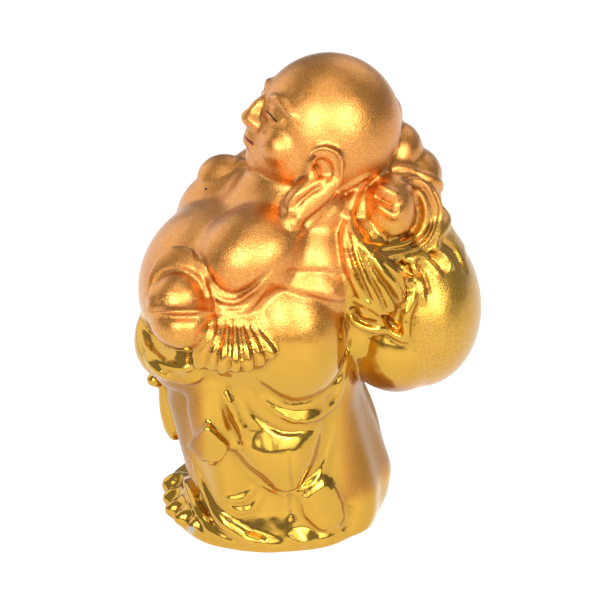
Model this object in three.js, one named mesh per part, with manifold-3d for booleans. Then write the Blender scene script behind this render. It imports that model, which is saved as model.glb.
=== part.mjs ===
import * as THREE from 'three';
import { LoftGeometry } from 'three/addons/geometries/LoftGeometry.js';
import { mergeVertices } from 'three/addons/utils/BufferGeometryUtils.js';
import Module from 'manifold-3d';

const wasm = await Module();
wasm.setup();

// Driving dimensions, in millimetres. The figure faces -Y and its left is +X.
const FIGURE_HEIGHT = 88.5;
const BASE_WIDTH = 40.6;
const BASE_DEPTH = 42;
const BASE_THICKNESS = 3.4;

// The figure is laid out on a canon, as a carver does: every place and radius below is
// counted in parts, and the height holds this many of them.
const PART_COUNT = 88.5;
const PART = FIGURE_HEIGHT / PART_COUNT;

// The feet stand in the middle of the canon. The sack hangs out behind, so the middle
// of the whole outline is this many parts further back.
const OUTLINE_MIDDLE = 6.15;

const at = (x, y, z) => new THREE.Vector3(x, y - OUTLINE_MIDDLE, z).multiplyScalar(PART);
const mix = THREE.MathUtils.lerp;
const radians = THREE.MathUtils.degToRad;

// Vertices that share a place are merged, so the surface closes on itself.
function weld(geometry) {
  const bare = new THREE.BufferGeometry();
  bare.setAttribute('position', geometry.getAttribute('position'));
  bare.setIndex(geometry.getIndex());
  return mergeVertices(bare, 1e-5);
}

// A welded geometry becomes a solid that can be joined to others.
function solidOf(welded) {
  return new wasm.Manifold(new wasm.Mesh({
    numProp: 3,
    vertProperties: new Float32Array(welded.attributes.position.array),
    triVerts: new Uint32Array(welded.index.array),
  }));
}

// A rounded form: a ball stretched to three radii and turned about X, Y and Z in degrees.
function form(x, y, z, radii, turn = [0, 0, 0]) {
  return new THREE.Matrix4().compose(
    at(x, y, z),
    new THREE.Quaternion().setFromEuler(new THREE.Euler(...turn.map(radians))),
    new THREE.Vector3(...radii).multiplyScalar(PART),
  );
}

function ball(matrix, sides = 10) {
  const rows = Math.round(sides / 2);
  const unitBall = weld(new THREE.SphereGeometry(1, sides, rows).rotateX(Math.PI / 2));
  return solidOf(unitBall.applyMatrix4(matrix));
}

const loft = (sections) => solidOf(weld(new LoftGeometry(sections, { capStart: true, capEnd: true })));

// A place on a rounded form. Longitude 0 faces +X, 90 faces the back and -90 the front.
// A lift above 1 stands clear of the surface.
function onForm(matrix, longitude, latitude, lift = 1) {
  const lon = radians(longitude);
  const lat = radians(latitude);
  return new THREE.Vector3(Math.cos(lon) * Math.cos(lat), Math.sin(lon) * Math.cos(lat), Math.sin(lat))
    .multiplyScalar(lift)
    .applyMatrix4(matrix);
}

// A roll of cloth or flesh along a route. It is thickest in the middle of its length and
// its ends taper to the given share of that.
function roll(route, radius, { taper = 0.3, sides = 5, steps = 3 } = {}) {
  const curve = new THREE.CatmullRomCurve3(route);
  const frames = curve.computeFrenetFrames(steps, false);
  const sections = [];
  for (let i = 0; i <= steps; i += 1) {
    const share = i / steps;
    const centre = curve.getPointAt(share);
    const swell = mix(taper, 1, Math.sqrt(Math.max(0, Math.sin(Math.PI * share))));
    const section = [];
    for (let j = 0; j < sides; j += 1) {
      const angle = (2 * Math.PI * j) / sides;
      section.push(centre.clone()
        .addScaledVector(frames.normals[i], Math.cos(angle) * radius * swell * PART)
        .addScaledVector(frames.binormals[i], Math.sin(angle) * radius * swell * PART));
    }
    sections.push(section);
  }
  return loft(sections);
}

// A limb: a tube whose radius runs through the given radii from end to end.
function limb(route, radii, { sides = 10, steps = 4 } = {}) {
  const curve = new THREE.CatmullRomCurve3(route);
  const frames = curve.computeFrenetFrames(steps, false);
  const girth = new THREE.SplineCurve(radii.map((radius, index) => new THREE.Vector2(index, radius)));
  const sections = [];
  for (let i = 0; i <= steps; i += 1) {
    const centre = curve.getPointAt(i / steps);
    const radius = girth.getPoint(i / steps).y * PART;
    const section = [];
    for (let j = 0; j < sides; j += 1) {
      const angle = (2 * Math.PI * j) / sides;
      section.push(centre.clone()
        .addScaledVector(frames.normals[i], Math.cos(angle) * radius)
        .addScaledVector(frames.binormals[i], Math.sin(angle) * radius));
    }
    sections.push(section);
  }
  return loft(sections);
}

// A route over a rounded form between two places given as longitude and latitude.
function routeOver(matrix, from, to, lift = 1, stops = 5) {
  return Array.from({ length: stops }, (_, i) => {
    const share = i / (stops - 1);
    return onForm(matrix, mix(from[0], to[0], share), mix(from[1], to[1], share), lift);
  });
}

const join = (solids) => solids.reduce((whole, next) => whole.add(next));

// The head is a ball tilted back. The face sits in the head's own frame: x to the
// figure's left, forward out of the face, up to the crown.
const HEAD = { y: 10.2, z: 75.5, radius: 13, tilt: 28 };

function inHead(x, forward, up) {
  const tilt = radians(HEAD.tilt);
  return [
    x,
    HEAD.y - forward * Math.cos(tilt) + up * Math.sin(tilt),
    HEAD.z + forward * Math.sin(tilt) + up * Math.cos(tilt),
  ];
}

function headForm(x, forward, up, radii) {
  return form(...inHead(x, forward, up), radii, [-HEAD.tilt, 0, 0]);
}

// A ridge on the face, on a route of [x, forward, up] given as shares of the head's
// radius. A side of -1 mirrors it to the other half of the face.
function faceRidge(route, radius, side = 1) {
  const r = HEAD.radius;
  const stops = route.map(([x, forward, up]) => at(...inHead(side * x * r, forward * r, up * r)));
  return roll(stops, r * radius, { taper: 0.5 });
}

const BROW = [[0.12, 0.98, 0.04], [0.36, 0.93, 0.14], [0.66, 0.74, 0.06]];
const EYELID = [[0.18, 0.94, -0.1], [0.36, 0.91, -0.08], [0.56, 0.8, -0.12]];

function head() {
  const r = HEAD.radius;
  const solids = [
    ball(headForm(0, 0, 0, [r * 0.97, r, r]), 18),
    ball(headForm(0, r * 0.3, -r * 0.42, [r * 0.8, r * 0.68, r * 0.66]), 12),
    ball(headForm(0, r * 0.6, -r * 0.82, [r * 0.3, r * 0.26, r * 0.22]), 8),
    faceRidge([[0, 0.98, 0.02], [0, 1.06, -0.18], [0, 1.1, -0.34]], 0.1),
    ball(headForm(0, r * 1.04, -r * 0.35, [r * 0.19, r * 0.15, r * 0.12]), 6),
    faceRidge([[-0.24, 0.9, -0.58], [0, 0.99, -0.55], [0.24, 0.9, -0.58]], 0.06),
    faceRidge([[-0.2, 0.88, -0.64], [0, 0.96, -0.65], [0.2, 0.88, -0.64]], 0.07),
  ];
  for (const side of [-1, 1]) {
    solids.push(
      ball(headForm(side * r * 0.42, r * 0.62, -r * 0.42, [r * 0.34, r * 0.3, r * 0.3]), 8),
      faceRidge(BROW, 0.07, side),
      faceRidge(EYELID, 0.075, side),
      ...ear(side),
    );
  }
  return join(solids);
}

// A long ear that slants forward: a rim turns over its top and runs down behind into a
// heavy lobe. Places are those of the left ear.
const EAR_RIM = [[11.9, 3, 72], [12.7, 6.2, 74.8], [13.1, 9.2, 70], [12.9, 4.8, 65], [12.5, -0.2, 61.6]];

function ear(side) {
  const rim = EAR_RIM.map(([x, y, z]) => at(side * x, y, z));
  return [
    ball(form(side * 11.5, 5.2, 69.4, [1.7, 2.8, 4.6], [-24, 0, 0]), 6),
    roll(rim, 1.05, { taper: 0.6, steps: 6 }),
    ball(form(side * 12.3, 0.8, 63.6, [1.4, 1.9, 3.6], [-34, 0, 0]), 6),
  ];
}

// Bare neck, chest and belly.
const BELLY = form(0, -7.4, 45, [18, 17.4, 17.2]);

function body() {
  const solids = [
    limb([at(0, 8, 70), at(0, 4, 64), at(0, 2, 56)], [8.6, 9.4, 13], { steps: 3 }),
    roll([at(-8.6, 1.5, 66), at(0, -5.6, 62.4), at(8.6, 1.5, 66)], 2.5, { taper: 0.5 }),
    ball(form(0, 1.5, 50, [17, 14.5, 15.5])),
    ball(BELLY, 18),
    ball(form(9.4, 4.6, 56.4, [9.4, 10.2, 8.4], [0, 18, 0]), 12),
  ];
  for (const side of [-1, 1]) {
    solids.push(ball(form(side * 10.2, -5.8, 56.6, [9.2, 10.6, 8], [24, 0, side * 12]), 12));
  }
  return join(solids);
}

// The robe below the waist: stacked outlines, each a squarish oval drawn in and out by
// its folds. The back flares to the ground, and the front opens in an arch over the feet.
const ROBE_OUTLINES = [
  { z: 0.4, width: 19.4, front: 16.6, back: 19.5, folds: 0.3 },
  { z: 3, width: 19, front: 16.7, back: 20.8, folds: 0.4 },
  { z: 7.6, width: 18.2, front: 16.7, back: 21.4, folds: 0.4 },
  { z: 12, width: 17.3, front: 17.2, back: 20.2, folds: 0.4 },
  { z: 18, width: 16.6, front: 18.6, back: 18.2, folds: 0.4 },
  { z: 25, width: 16.6, front: 20.2, back: 15.8, folds: 0.2 },
  { z: 37, width: 17, front: 16.4, back: 15.4, folds: 0 },
];
const ROBE_SQUARENESS = 2.5;
const ROBE_FOLDS = 9;
const ROBE_SIDES = 30;

const squared = (value) => Math.sign(value) * Math.abs(value) ** (2 / ROBE_SQUARENESS);

// A place on the robe at a height, moved out from its middle by a share. Angle 0 is the
// left side, 90 the back and -90 the front.
function onRobe(angle, z, out = 1) {
  const upper = Math.max(1, ROBE_OUTLINES.findIndex((outline) => outline.z >= z));
  const below = ROBE_OUTLINES[upper - 1];
  const above = ROBE_OUTLINES[upper];
  const share = (z - below.z) / (above.z - below.z);
  const side = angle > 0 ? 'back' : 'front';
  const turn = THREE.MathUtils.degToRad(angle);
  const reach = squared(Math.cos(turn)) * mix(below.width, above.width, share) * out;
  return at(reach, squared(Math.sin(turn)) * mix(below[side], above[side], share) * out, z);
}

function robe() {
  const sections = ROBE_OUTLINES.map(({ z, width, front, back, folds }) => {
    const section = [];
    for (let j = 0; j < ROBE_SIDES; j += 1) {
      const angle = (2 * Math.PI * j) / ROBE_SIDES;
      const wave = 1 + (folds / width) * Math.cos(ROBE_FOLDS * angle);
      const depth = Math.sin(angle) > 0 ? back : front;
      section.push(at(squared(Math.cos(angle)) * width * wave, squared(Math.sin(angle)) * depth * wave, z));
    }
    return section;
  });
  const arch = ball(form(-1.6, -18.6, 1.6, [13.4, 8, 9.4]), 14);
  return loft(sections).subtract(arch);
}

// Above the waist the robe wraps the back and the right side up to the shoulder. Its
// open edge runs from the right shoulder round the belly.
const WRAP = form(-2.4, 5, 47, [18, 14, 19.5]);
const FLANK = form(-9.6, -1, 45, [11, 14, 19], [0, -6, 14]);
const OPEN_EDGE_ON_BELLY = [[200, 36], [203, 8], [210, -22], [234, -48], [262, -60]];

function wrap() {
  const edge = [
    at(-6.6, 1.6, 67),
    at(-12.4, -7.6, 62.6),
    ...OPEN_EDGE_ON_BELLY.map(([longitude, latitude]) => onForm(BELLY, longitude, latitude)),
  ];
  const solids = [
    ball(WRAP, 12),
    ball(FLANK, 12),
    roll(edge, 1.9, { steps: 8 }),
  ];
  // Long folds fall from the right shoulder over the back and the flank.
  const folds = 3;
  for (let i = 0; i < folds; i += 1) {
    const longitude = mix(214, 112, i / (folds - 1));
    const under = i < 1 ? FLANK : WRAP;
    solids.push(roll([
      onForm(under, longitude - 8, 52),
      onForm(under, longitude, 10),
      onForm(under, longitude + 4, -40),
    ], 1.4));
  }
  return join(solids);
}

// The base: a low, slightly uneven oval with a rounded edge.
function base() {
  const sides = 24;
  const sections = [[0, 0.97], [0.4, 1], [1, 0.95]].map(([rise, spread]) => {
    const section = [];
    for (let j = 0; j < sides; j += 1) {
      const angle = (2 * Math.PI * j) / sides;
      const uneven = 1 - 0.012 * (1 + Math.cos(5 * angle + 1));
      section.push(new THREE.Vector3(
        Math.cos(angle) * (BASE_WIDTH / 2) * spread * uneven,
        Math.sin(angle) * (BASE_DEPTH / 2) * spread * uneven - OUTLINE_MIDDLE * PART,
        rise * BASE_THICKNESS,
      ));
    }
    return section;
  });
  return loft(sections);
}

// The boat-shaped ingot: a round hull with a dome in its middle. Its far end stands up
// against the belly as a broad wing with a raised rim.
const INGOT_WING = form(10.2, -19.2, 51.4, [6.6, 2.6, 6.2], [-27, 0, 38]);
const WING_RIM = [[0, -20], [0, 20], [0, 60], [180, 70], [180, 30], [180, -10]];

function ingot() {
  const rim = WING_RIM.map(([longitude, latitude]) => onForm(INGOT_WING, longitude, latitude));
  return join([
    ball(form(13.2, -19, 46.8, [8.8, 6.5, 5.6], [0, 0, -9]), 12),
    ball(form(14, -20.3, 50.2, [4.2, 4.2, 4.2]), 10),
    ball(INGOT_WING, 12),
    roll(rim, 0.9, { steps: 8, taper: 0.7 }),
  ]);
}

// The near arm hangs in a wide sleeve, bends at the elbow and carries the ingot.
const ELBOW = form(12.4, 0.6, 40.6, [9.5, 10, 13.2], [4, 0, 0]);
const FOREARM = form(12.6, -9.4, 42, [8, 9.2, 8.4], [-10, 0, 0]);

function leftArm() {
  const solids = [
    ball(ELBOW, 12),
    ball(FOREARM),
    limb([at(13, -4, 38), at(11, -13, 38), at(7.6, -19.6, 38)], [7, 6.6, 5.4], { steps: 3 }),
  ];
  // Pleats fan out over the forearm from the crook of the elbow.
  const pleats = 7;
  for (let i = 0; i < pleats; i += 1) {
    const share = i / (pleats - 1);
    solids.push(roll(
      routeOver(FOREARM, [mix(-34, 16, share), 58], [mix(-62, 36, share), mix(6, -16, share)], 0.98, 4),
      1.1,
      { taper: 0.4, steps: 3 },
    ));
  }
  return join(solids);
}

// The sleeve hangs from the arm down to a long curved hem, with looped folds on it.
function sleeve() {
  const outlines = [
    { z: 38, front: -12.4, back: 10.6, reach: 17.2 },
    { z: 32, front: -13.8, back: 10.6, reach: 18.4 },
    { z: 25, front: -13.2, back: 8.4, reach: 19.8 },
    { z: 18.4, front: -10.6, back: 6.4, reach: 20.2 },
    { z: 12.6, front: -4.6, back: 2.2, reach: 19.6 },
  ];
  const sections = outlines.map(({ z, front, back, reach }) => {
    const section = [];
    const sides = 14;
    for (let j = 0; j < sides; j += 1) {
      const angle = (2 * Math.PI * j) / sides;
      section.push(at(
        8 + squared(Math.cos(angle)) * (reach - 8),
        (front + back) / 2 + squared(Math.sin(angle)) * ((back - front) / 2),
        z,
      ));
    }
    return section;
  });
  sections.reverse();
  const solids = [
    loft(sections),
    roll([at(16.4, -12, 20.4), at(19, -8.4, 16.6), at(20, -1.5, 12.8), at(19.4, 4, 14.8), at(18.4, 7.2, 24),
      at(16.2, 10.4, 33)], 1.3, { steps: 6, taper: 0.5 }),
  ];
  const loops = 3;
  for (let i = 0; i < loops; i += 1) {
    const drop = i * 4.2;
    const half = 7 + i * 1.4;
    solids.push(roll(
      [at(18.4, -0.4 - half, 31.4 - drop), at(20.2, -1 - half * 0.3, 27.2 - drop),
        at(19.6, 1.6 + half * 0.3, 27.4 - drop), at(16.4, 2 + half * 0.9, 35.4 - drop)],
      1.4,
      { steps: 3 },
    ));
  }
  const creases = 2;
  for (let i = 0; i < creases; i += 1) {
    solids.push(roll(
      [at(17.6, -11.4 + i * 2.4, 32), at(19, -9.8 + i * 2.6, 27 - i), at(19.6, -7.2 + i * 3, 20 - i * 2)],
      1,
    ));
  }
  return join(solids);
}

// The forearm's sleeve turns back under the ingot in a rolled cuff.
function cuff() {
  const solids = [
    ball(form(6.4, -16.4, 36.4, [9.4, 8, 7], [14, 0, 0])),
  ];
  const rolls = 3;
  for (let i = 0; i < rolls; i += 1) {
    const drop = i * 3.2;
    const inward = i * 1.3;
    solids.push(roll(
      [at(-3 + inward, -21 + inward, 42.4 - drop), at(2.6, -24.4 + inward * 1.1, 37.6 - drop),
        at(10, -23.4 + inward * 1.1, 36.8 - drop), at(16.4 - inward, -18.4 + inward, 40.6 - drop)],
      1.7,
      { steps: 4 },
    ));
  }
  return join(solids);
}

// A narrow panel hangs in front of the sleeve to a square tip.
function frontPanel() {
  return join([
    limb([at(11.6, -12.6, 36), at(13.4, -13.6, 28), at(13.6, -13.4, 20.4)], [4.4, 5.2, 3.6],
      { steps: 3, sides: 8 }),
    roll([at(9.4, -17.4, 34), at(11.2, -17.6, 27), at(12.8, -17, 21)], 1),
    roll([at(2, -18, 32), at(3, -17, 22), at(2.4, -16.8, 13)], 1.6),
  ]);
}

// The front hem arches over the feet and runs down beside them to the ground, and two
// folds lie under the sleeve.
function hems() {
  return join([
    roll([at(-14, -11.6, 1.6), at(-10.4, -14.4, 8), at(-2, -16.6, 11.4), at(6, -16.4, 10.8),
      at(11.6, -14.8, 6), at(14.4, -12.6, 1.8)], 1.3, { steps: 6, taper: 0.6 }),
    roll([onRobe(-34.4, 11.4, 1.06), onRobe(-21.5, 8.6, 1.05), onRobe(-6.7, 8.4, 1.03)], 1.3),
    roll([onRobe(7, 8.4), onRobe(20.1, 4.6), onRobe(39.6, 2.8)], 1.2),
    roll([onRobe(-55.5, 3.4, 1.01), onRobe(-29, 1.8, 1.01), onRobe(-1.8, 1.6)], 1.2),
  ]);
}

// A band borders the robe across the upper arm and on under the breast.
function robeBorder() {
  const rows = 2;
  const solids = [
    roll([at(17.4, -4, 53.6), at(17.2, -8.4, 50.8), at(15.8, -11.4, 46.6)], 1.2, { taper: 0.6 }),
  ];
  for (let i = 0; i < rows; i += 1) {
    const drop = i * 2.2;
    solids.push(roll(
      [at(17, -5.6, 54.6 - drop), at(19.8, -0.6, 54 - drop),
        at(20.4, 4.4, 53.6 - drop), at(17.2, 10.6, 53.8 - drop)],
      1.5,
      { taper: 0.6 },
    ));
  }
  return join(solids);
}

// The far arm is raised behind the head. Its sleeve bunches into lobes.
function rightArm() {
  return join([
    ball(form(-12.6, 3, 58.6, [9, 10.4, 9.2], [0, -18, 0]), 12),
    ball(form(-11.6, -6.6, 62, [5.2, 5.2, 4.2], [0, 20, 0]), 8),
    limb([at(-14, 7, 60), at(-14, 14, 66), at(-7, 20, 67), at(1, 21, 62)], [7.8, 7.6, 7.2, 6.8]),
    ball(form(-5.4, 20.4, 75, [5.6, 4.6, 4.6]), 8),
    ball(form(-4, 23.8, 69, [6.4, 4.6, 4.4]), 8),
    ball(form(-2.6, 27.2, 64, [6.8, 4.6, 4.6]), 8),
  ]);
}

// The fist and the cuff folds that ring it.
const FIST = form(7.4, 19, 61.8, [5.4, 4.6, 6.4], [-10, 0, 0]);
const THUMB_ON_FIST = [[-20, 52], [24, 44], [60, 30]];

function fist() {
  const solids = [
    ball(FIST, 10),
    ball(form(4, 22, 58.8, [5.8, 8.2, 8.6]), 10),
    ball(form(4.8, 14.4, 58.4, [7, 6, 9]), 8),
    roll(THUMB_ON_FIST.map(([longitude, latitude]) => onForm(FIST, longitude, latitude, 0.98)), 1.3,
      { taper: 0.7 }),
  ];
  const fingers = 3;
  for (let i = 0; i < fingers; i += 1) {
    const latitude = mix(20, -46, i / (fingers - 1));
    const route = routeOver(FIST, [-74, latitude], [0, latitude - 6], 0.94, 3);
    solids.push(roll(route, 1.2, { taper: 0.7 }));
  }
  const rings = 3;
  for (let i = 0; i < rings; i += 1) {
    const radius = 5.2 + i * 1.6;
    const route = [];
    for (let k = 0; k <= 6; k += 1) {
      const angle = radians(mix(124, -132, k / 6));
      route.push(at(7.6 - i * 1.7, 21 + i * 0.6 + Math.cos(angle) * radius, 59.6 + Math.sin(angle) * radius));
    }
    solids.push(roll(route, 1.4, { taper: 0.5, steps: 5 }));
  }
  return join(solids);
}

// The sack hangs from the fist down the back, gathered in pleats at its neck.
const SACK = form(1.5, 26.2, 40, [16.4, 12.1, 15.6]);

function sack() {
  const solids = [
    ball(SACK, 16),
    ball(form(2.6, 21.8, 36, [14.6, 10.6, 11.6]), 10),
    limb([at(3, 22, 59), at(2.4, 23.6, 55), at(2, 25, 49)], [5.4, 8.2, 10.8], { steps: 3 }),
  ];
  const pleats = 6;
  for (let i = 0; i < pleats; i += 1) {
    const angle = radians(mix(-58, 150, i / (pleats - 1)));
    const out = (radius, y, z) => at(2 + Math.cos(angle) * radius, y + Math.sin(angle) * radius * 0.8, z);
    solids.push(roll([out(6.4, 23, 57.6), out(10, 24.4, 52.6), out(13.4, 25.8, 47)], 1.2, { steps: 2 }));
  }
  return join(solids);
}

// Loose folds fall from the fist over the front of the sack.
function drape() {
  const solids = [
    ball(form(10.6, 14.6, 50, [5.8, 5.8, 11], [8, 0, 0]), 10),
    roll([at(14.6, 11.6, 46), at(15.8, 13.8, 43.4), at(14.8, 17, 44.4)], 1.6, { taper: 0.6 }),
  ];
  const folds = 4;
  for (let i = 0; i < folds; i += 1) {
    const share = i / (folds - 1);
    solids.push(roll(
      [at(mix(10, 9, share), mix(11, 19, share), mix(63.6, 55.4, share)),
        at(mix(13.2, 12, share), mix(11.6, 19.6, share), mix(54.4, 50, share)),
        at(mix(16, 14.6, share), mix(11.4, 21, share), mix(46.6, 40.6, share))],
      1.3,
      { taper: 0.4, steps: 3 },
    ));
  }
  return join(solids);
}

// A cord with a bead hangs at the front and ends in a tassel.
function tassel() {
  return join([
    roll([at(-2, -19, 33), at(-4.6, -18.4, 28), at(-5, -17.6, 20)], 1.1, { taper: 0.8 }),
    ball(form(-5, -19.2, 25.9, [1.9, 1.9, 1.7]), 8),
    limb([at(-5, -17.6, 23), at(-5, -17.4, 17), at(-5, -17, 12.4)], [1.1, 1.9, 2.2], { steps: 3, sides: 7 }),
  ]);
}

// Toes in a row at the front of each foot, as [x, y, z, radius]. The first is the big toe.
const NEAR_TOES = [
  [-6, -17.2, 2.9, 2.3], [-2, -18.2, 2.7, 1.9], [1.8, -18.6, 2.6, 1.7],
  [5.6, -17.9, 2.7, 1.5], [9, -16.6, 2.8, 1.35],
];
const FAR_TOES = [[-11.6, -12.4, 2.5, 1.5], [-13.6, -12, 2.5, 1.4], [-15.4, -11, 2.5, 1.3]];

function foot(instep, toes) {
  return join([
    ball(instep, 8),
    ...toes.map(([x, y, z, radius]) => ball(form(x, y, z, [radius * 0.95, radius * 1.5, radius]), 6)),
  ]);
}

const nearFoot = () => foot(form(1, -11.8, 3.2, [9.6, 7.4, 4.4]), NEAR_TOES);
const farFoot = () => foot(form(-13, -6.6, 2.8, [5.4, 6.4, 3.6]), FAR_TOES);

const PIECES = [base, robe, wrap, body, head, robeBorder, leftArm, sleeve, cuff, frontPanel, hems, ingot,
  rightArm, fist, sack, drape, tassel, nearFoot, farFoot];

// Everything below the ground is cut away, so the base stands flat.
function castAsOne() {
  const reach = FIGURE_HEIGHT * 2;
  const ground = new THREE.BoxGeometry(reach, reach, reach).translate(0, 0, -reach / 2);
  const whole = join(PIECES.map((piece) => piece())).subtract(solidOf(weld(ground)));
  const { vertProperties, triVerts } = whole.getMesh();
  const geometry = new THREE.BufferGeometry();
  geometry.setAttribute('position', new THREE.BufferAttribute(vertProperties, 3));
  geometry.setIndex(new THREE.BufferAttribute(triVerts, 1));
  geometry.computeVertexNormals();
  return geometry;
}

const gold = new THREE.MeshStandardMaterial({ color: 0xdda23a, roughness: 0.3, metalness: 1 });

const figure = new THREE.Mesh(castAsOne(), gold);
figure.name = 'budai_figure';

const group = new THREE.Group();
group.add(figure);

export default group;
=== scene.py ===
import math

import bpy
import numpy as np
from bpy.props import FloatProperty, IntProperty, PointerProperty
from mathutils import Euler, Matrix, Vector
from mathutils.bvhtree import BVHTree


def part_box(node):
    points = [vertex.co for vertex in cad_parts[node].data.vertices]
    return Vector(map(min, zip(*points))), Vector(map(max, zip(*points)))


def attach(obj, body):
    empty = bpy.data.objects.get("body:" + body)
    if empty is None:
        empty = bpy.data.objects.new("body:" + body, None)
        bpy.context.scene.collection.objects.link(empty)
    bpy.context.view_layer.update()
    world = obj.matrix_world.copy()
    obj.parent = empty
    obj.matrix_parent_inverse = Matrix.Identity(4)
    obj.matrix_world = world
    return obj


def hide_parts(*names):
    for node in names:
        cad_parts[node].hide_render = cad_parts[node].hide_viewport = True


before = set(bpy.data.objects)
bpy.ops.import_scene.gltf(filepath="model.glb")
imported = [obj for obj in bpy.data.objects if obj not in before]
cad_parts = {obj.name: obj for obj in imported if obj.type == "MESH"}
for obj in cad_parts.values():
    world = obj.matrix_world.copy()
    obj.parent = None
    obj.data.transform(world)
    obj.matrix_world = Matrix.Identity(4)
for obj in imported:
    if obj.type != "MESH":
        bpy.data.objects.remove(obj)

bl_info = {
    "name": "Gilded Budai Figure",
    "version": (1, 0, 0),
    "blender": (4, 5, 0),
    "location": "3D View > Sidebar > Budai",
    "description": "Models a small gilded resin casting of a budai with a sack and an ingot",
    "category": "Object",
}

SOLID = "budai_figure"
LOW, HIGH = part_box(SOLID)

# The figure is laid out on the same canon as its solid: places and radii are counted in
# parts, and the solid is this many of them high.
CANON_HEIGHT = 88.34
PART = (HIGH.z - LOW.z) / CANON_HEIGHT
OUTLINE_MIDDLE = 6.15

# The camera stands where the photograph was taken from. Places on the cloth that are
# given as two numbers are pixels of its 600 by 600 frame.
FRAME = 600
VIEW = {"azimuth": 78, "elevation": 25, "distance": 430, "target": (0, 5, 41.7), "scale": 5.45}
FOCAL = VIEW["scale"] * VIEW["distance"]
SENSOR = 36

# A pixel may pass the outline by this many parts. The depths are from the camera.
OUTLINE_SLACK = 3
DEPTH_RANGE = (380, 480)
DEPTH_STEPS = 200

# Relief on the side that the camera sees: how far round an outline the skin is looked at in
# pixels, how squarely it faces the camera, and how deep in parts it may lie behind a fold.
REACH_PIXELS = 15
LEAST_FACING = 0.05
SIGHT_SLACK = 0.6

# A swag stands out most at this share of its width. Its upper line is sunk by this share of
# its rise, within this many pixels.
SWAG_CREST = 0.72
SWAG_SINK = 0.5
SWAG_LIP = 2

CLAY = "clay_"


def place(x, y, z):
    """A place of the canon in the row frame, in metres."""
    return Vector((x, y - OUTLINE_MIDDLE, z)) * PART


def way_to(azimuth, elevation):
    """The direction that leads from the figure to a place of the studio. Azimuth 0 is its front."""
    a, e = math.radians(azimuth), math.radians(elevation)
    return Vector((math.sin(a) * math.cos(e), -math.cos(a) * math.cos(e), math.sin(e)))


def camera_axes():
    """The camera's place, its right, its up and the way back from its target."""
    azimuth = math.radians(VIEW["azimuth"])
    back = way_to(VIEW["azimuth"], VIEW["elevation"])
    right = Vector((math.cos(azimuth), math.sin(azimuth), 0))
    eye = place(*VIEW["target"]) + back * (VIEW["distance"] * PART)
    return eye, right, back.cross(right), back


EYE, RIGHT, UP, BACK = camera_axes()


def sight(px, py):
    """The direction from the camera through a pixel."""
    return (RIGHT * (px - FRAME / 2) + UP * (FRAME / 2 - py) - BACK * FOCAL).normalized()


def pixels_of(co):
    """Where points show in the frame, as an array of pixels."""
    seen = co - np.array(EYE)
    depth = -(seen @ np.array(BACK))
    across = FRAME / 2 + seen @ np.array(RIGHT) / depth * FOCAL
    down = FRAME / 2 - seen @ np.array(UP) / depth * FOCAL
    return np.stack([across, down], 1)


def mix(a, b, share):
    return a + (b - a) * share


def linear(hex_colour):
    """An sRGB hex colour as linear RGBA."""
    values = [int(hex_colour[i:i + 2], 16) / 255 for i in (1, 3, 5)]
    return [v / 12.92 if v <= 0.04045 else ((v + 0.055) / 1.055) ** 2.4 for v in values] + [1]


# Modelling helpers


def select_only(*objects):
    bpy.ops.object.select_all(action="DESELECT")
    for item in objects:
        item.select_set(True)
    bpy.context.view_layer.objects.active = objects[0]


def settle(item, name):
    """Names a new piece and puts its place into its mesh."""
    item.name = name
    select_only(item)
    bpy.ops.object.transform_apply(location=True, rotation=True, scale=True)
    return item


def form(x, y, z, radii, turn=(0, 0, 0)):
    """A ball's matrix: stretched to three radii and turned about X, Y and Z in degrees."""
    turned = Euler([math.radians(a) for a in turn], "ZYX").to_matrix().to_4x4()
    return Matrix.Translation(place(x, y, z)) @ turned @ Matrix.Diagonal([*(r * PART for r in radii), 1])


def ball(matrix, segments=96):
    bpy.ops.object.select_all(action="DESELECT")
    bpy.ops.mesh.primitive_uv_sphere_add(segments=segments, ring_count=segments // 2, radius=1)
    item = bpy.context.object
    item.matrix_world = matrix
    return settle(item, CLAY + "ball")


def masses(rows):
    return [ball(form(*row)) for row in rows]


def on_form(matrix, longitude, latitude, lift=1):
    """A place on a ball. Longitude 0 faces +X, 90 the back and -90 the front."""
    lon, lat = math.radians(longitude), math.radians(latitude)
    flat = math.cos(lat)
    return matrix @ (Vector((math.cos(lon) * flat, math.sin(lon) * flat, math.sin(lat))) * lift)


def smooth_route(points, steps=8):
    """A Catmull-Rom curve through the points."""
    route = [points[0], *points, points[-1]]
    made = []
    for a, b, c, d in zip(route, route[1:], route[2:], route[3:]):
        for k in range(steps):
            t = k / steps
            made.append(0.5 * (2 * b + (c - a) * t + (2 * a - 5 * b + 4 * c - d) * t * t
                               + (3 * b - a - 3 * c + d) * t ** 3))
    made.append(points[-1].copy())
    return made


def tubes(rows):
    """Closed tubes along routes. Each row holds a route and its radii in parts."""
    data = bpy.data.curves.new(CLAY + "tubes", "CURVE")
    data.dimensions = "3D"
    data.bevel_depth = PART
    data.bevel_resolution = 10
    data.use_fill_caps = True
    for route, radii in rows:
        spline = data.splines.new("POLY")
        spline.points.add(len(route) - 1)
        for i, (point, where) in enumerate(zip(spline.points, route)):
            at = i / (len(route) - 1) * (len(radii) - 1)
            low = min(int(at), len(radii) - 2)
            point.co = (*where, 1)
            point.radius = mix(radii[low], radii[low + 1], at - low)
    item = bpy.data.objects.new(data.name, data)
    bpy.context.scene.collection.objects.link(item)
    select_only(item)
    bpy.ops.object.convert(target="MESH")
    return item


def limb(points, radii):
    return tubes([(smooth_route([place(*p) for p in points]), radii)])


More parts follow.
